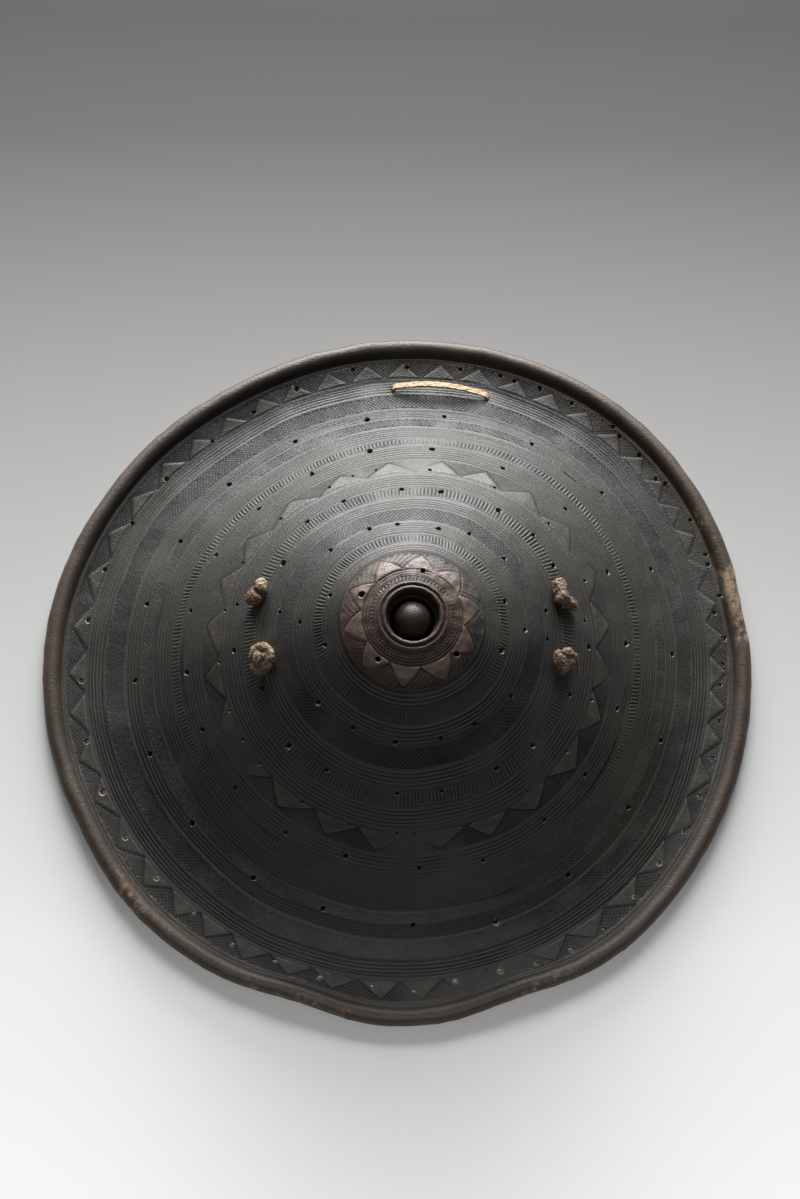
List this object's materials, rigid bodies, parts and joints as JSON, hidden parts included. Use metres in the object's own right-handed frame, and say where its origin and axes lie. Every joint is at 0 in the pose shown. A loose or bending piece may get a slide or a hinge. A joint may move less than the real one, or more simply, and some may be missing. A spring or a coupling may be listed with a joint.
{
  "type": "buckler shield",
  "caption": "Round conical hide shield with a knob in a lipped cup, tooled rings, a rolled rim, a bound thong handle behind and a hanging thong.",
  "frame": {"origin": "middle of the outline, on the ground plane that the rim rests on", "axes": "+Z out of the boss, +Y towards the top of the shield where the hanging thong is, +X to the right seen from the front"},
  "size_m": [0.4926, 0.4934, 0.15],
  "materials": {
    "tooled_hide": "dark, waxed, tooled, semi-gloss with worn brown rim",
    "rawhide": "dry, grainy, matt",
    "grip_binding": "brown, hand-worn, satin",
    "pale_strip": "pale tan, matt"
  },
  "bodies": {
    "root": {"hide_shell": "tooled_hide", "upper_thong": "rawhide", "lower_thong": "rawhide", "grip_wrap": "grip_binding", "hanging_thong": "pale_strip"}
  },
  "joints": []
}
